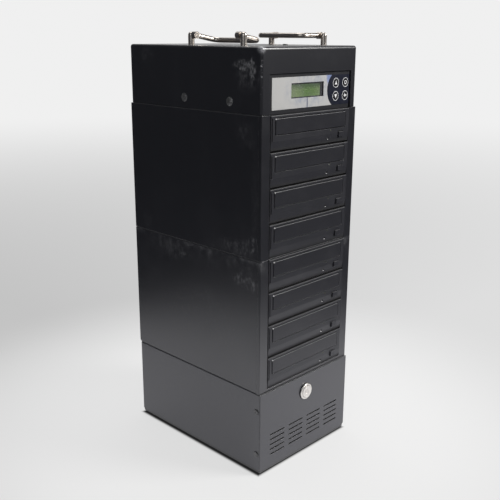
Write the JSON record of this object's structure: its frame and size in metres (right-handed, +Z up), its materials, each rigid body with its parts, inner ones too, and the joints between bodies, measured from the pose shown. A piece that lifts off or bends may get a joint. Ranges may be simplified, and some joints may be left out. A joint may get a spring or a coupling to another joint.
{
  "type": "disc duplicator tower",
  "caption": "Upright disc copying tower: stacked steel modules with tray-loading disc drives, a display panel with keys, folding top handles and a power base with vents.",
  "frame": {"origin": "on the floor, at the middle of the tower's bounding box", "axes": "+Z up, front towards -Y, +X to the right seen from the front"},
  "size_m": [0.1812, 0.255, 0.5623],
  "materials": {
    "painted_steel": "black semi-gloss powder coat",
    "feet_rubber": "matt black rubber",
    "zinc_steel": "zinc-plated sheet steel",
    "black_plastic": "black moulded plastic, fine grain",
    "drive_plastic": "charcoal moulded plastic, fine grain",
    "inner_plastic": "black moulded plastic",
    "inner_metal": "die-cast and turned metal",
    "switch_metal": "satin stainless steel",
    "chrome": "bright chrome plating",
    "display_glass": "clear pane over a green display",
    "board": "green laminate",
    "key_plastic": "black moulded plastic with white marks",
    "wiring": "black braided sleeve",
    "screw_steel": "black zinc-plated steel"
  },
  "bodies": {
    "tower": {"base_pan": "painted_steel", "base_cover": "painted_steel", "lower_bay_frame": "painted_steel", "upper_bay_frame": "painted_steel", "lower_cover": "painted_steel", "upper_cover": "painted_steel", "lower_rear_panel": "painted_steel", "upper_rear_panel": "painted_steel", "top_case": "painted_steel", "rubber_feet": "feet_rubber", "psu_case": "zinc_steel", "drive_shells": "zinc_steel", "power_inlet": "black_plastic", "fan_frames": "black_plastic", "controller_panel": "black_plastic", "drive_bezel_1": "drive_plastic", "drive_bezel_2": "drive_plastic", "drive_bezel_3": "drive_plastic", "drive_bezel_4": "drive_plastic", "drive_bezel_5": "drive_plastic", "drive_bezel_6": "drive_plastic", "drive_bezel_7": "drive_plastic", "drive_bezel_8": "drive_plastic", "drive_loaders": "inner_plastic", "drive_mechanisms": "inner_metal", "power_switch_body": "switch_metal", "fan_guards": "chrome", "handle_posts": "chrome", "lcd_window": "display_glass", "controller_board": "board", "wiring_loom": "wiring", "case_screws": "screw_steel", "drive_screws": "screw_steel"},
    "power_cap": {"power_switch_cap": "switch_metal"},
    "supply_rocker": {"psu_rocker": "black_plastic"},
    "supply_fan": {"psu_fan_rotor": "black_plastic"},
    "lower_fan": {"lower_fan_rotor": "black_plastic"},
    "upper_fan": {"upper_fan_rotor": "black_plastic"},
    "down_key": {"key_down": "key_plastic"},
    "up_key": {"key_up": "key_plastic"},
    "back_key": {"key_back": "key_plastic"},
    "enter_key": {"key_enter": "key_plastic"},
    "left_handle": {"left_handle_bar": "chrome"},
    "right_handle": {"right_handle_bar": "chrome"},
    "tray_1": {"disc_tray_1": "drive_plastic"},
    "eject_1": {"eject_button_1": "drive_plastic"},
    "tray_2": {"disc_tray_2": "drive_plastic"},
    "eject_2": {"eject_button_2": "drive_plastic"},
    "tray_3": {"disc_tray_3": "drive_plastic"},
    "eject_3": {"eject_button_3": "drive_plastic"},
    "tray_4": {"disc_tray_4": "drive_plastic"},
    "eject_4": {"eject_button_4": "drive_plastic"},
    "tray_5": {"disc_tray_5": "drive_plastic"},
    "eject_5": {"eject_button_5": "drive_plastic"},
    "tray_6": {"disc_tray_6": "drive_plastic"},
    "eject_6": {"eject_button_6": "drive_plastic"},
    "tray_7": {"disc_tray_7": "drive_plastic"},
    "eject_7": {"eject_button_7": "drive_plastic"},
    "tray_8": {"disc_tray_8": "drive_plastic"},
    "eject_8": {"eject_button_8": "drive_plastic"}
  },
  "joints": [
    {"name": "tray_1_slide", "type": "slide", "parent": "tower", "child": "tray_1", "axis": [0, -1, 0], "range_m": [0, 0.13]},
    {"name": "eject_1_press", "type": "slide", "parent": "tower", "child": "eject_1", "axis": [0, 1, 0], "range_m": [0, 0.0008], "stiffness_N_per_m": 1500},
    {"name": "tray_2_slide", "type": "slide", "parent": "tower", "child": "tray_2", "axis": [0, -1, 0], "range_m": [0, 0.13]},
    {"name": "eject_2_press", "type": "slide", "parent": "tower", "child": "eject_2", "axis": [0, 1, 0], "range_m": [0, 0.0008], "stiffness_N_per_m": 1500},
    {"name": "tray_3_slide", "type": "slide", "parent": "tower", "child": "tray_3", "axis": [0, -1, 0], "range_m": [0, 0.13]},
    {"name": "eject_3_press", "type": "slide", "parent": "tower", "child": "eject_3", "axis": [0, 1, 0], "range_m": [0, 0.0008], "stiffness_N_per_m": 1500},
    {"name": "tray_4_slide", "type": "slide", "parent": "tower", "child": "tray_4", "axis": [0, -1, 0], "range_m": [0, 0.13]},
    {"name": "eject_4_press", "type": "slide", "parent": "tower", "child": "eject_4", "axis": [0, 1, 0], "range_m": [0, 0.0008], "stiffness_N_per_m": 1500},
    {"name": "tray_5_slide", "type": "slide", "parent": "tower", "child": "tray_5", "axis": [0, -1, 0], "range_m": [0, 0.13]},
    {"name": "eject_5_press", "type": "slide", "parent": "tower", "child": "eject_5", "axis": [0, 1, 0], "range_m": [0, 0.0008], "stiffness_N_per_m": 1500},
    {"name": "tray_6_slide", "type": "slide", "parent": "tower", "child": "tray_6", "axis": [0, -1, 0], "range_m": [0, 0.13]},
    {"name": "eject_6_press", "type": "slide", "parent": "tower", "child": "eject_6", "axis": [0, 1, 0], "range_m": [0, 0.0008], "stiffness_N_per_m": 1500},
    {"name": "tray_7_slide", "type": "slide", "parent": "tower", "child": "tray_7", "axis": [0, -1, 0], "range_m": [0, 0.13]},
    {"name": "eject_7_press", "type": "slide", "parent": "tower", "child": "eject_7", "axis": [0, 1, 0], "range_m": [0, 0.0008], "stiffness_N_per_m": 1500},
    {"name": "tray_8_slide", "type": "slide", "parent": "tower", "child": "tray_8", "axis": [0, -1, 0], "range_m": [0, 0.13]},
    {"name": "eject_8_press", "type": "slide", "parent": "tower", "child": "eject_8", "axis": [0, 1, 0], "range_m": [0, 0.0008], "stiffness_N_per_m": 1500},
    {"name": "power_press", "type": "slide", "parent": "tower", "child": "power_cap", "axis": [0, 1, 0], "range_m": [0, 0.002], "stiffness_N_per_m": 1200},
    {"name": "down_key_press", "type": "slide", "parent": "tower", "child": "down_key", "axis": [0, 1, 0], "range_m": [0, 0.0006], "stiffness_N_per_m": 2000},
    {"name": "up_key_press", "type": "slide", "parent": "tower", "child": "up_key", "axis": [0, 1, 0], "range_m": [0, 0.0006], "stiffness_N_per_m": 2000},
    {"name": "back_key_press", "type": "slide", "parent": "tower", "child": "back_key", "axis": [0, 1, 0], "range_m": [0, 0.0006], "stiffness_N_per_m": 2000},
    {"name": "enter_key_press", "type": "slide", "parent": "tower", "child": "enter_key", "axis": [0, 1, 0], "range_m": [0, 0.0006], "stiffness_N_per_m": 2000},
    {"name": "left_handle_fold", "type": "hinge", "parent": "tower", "child": "left_handle", "pos_m": [-0.0736, -0.0312, 0.558], "axis": [0, -1, 0], "range_deg": [0, 100]},
    {"name": "right_handle_fold", "type": "hinge", "parent": "tower", "child": "right_handle", "pos_m": [0.0736, -0.0312, 0.558], "axis": [0, 1, 0], "range_deg": [-10, 90]},
    {"name": "supply_rocker_tilt", "type": "hinge", "parent": "tower", "child": "supply_rocker", "pos_m": [0.042, 0.11925, 0.0282], "axis": [-1, 0, 0], "range_deg": [0, 16]},
    {"name": "supply_fan_spin", "type": "hinge", "parent": "tower", "child": "supply_fan", "pos_m": [-0.024, 0.10725, 0.0472], "axis": [0, 1, 0], "continuous": true},
    {"name": "lower_fan_spin", "type": "hinge", "parent": "tower", "child": "lower_fan", "pos_m": [-0.024, 0.11075, 0.205], "axis": [0, 1, 0], "continuous": true},
    {"name": "upper_fan_spin", "type": "hinge", "parent": "tower", "child": "upper_fan", "pos_m": [-0.024, 0.11075, 0.3815], "axis": [0, 1, 0], "continuous": true}
  ]
}
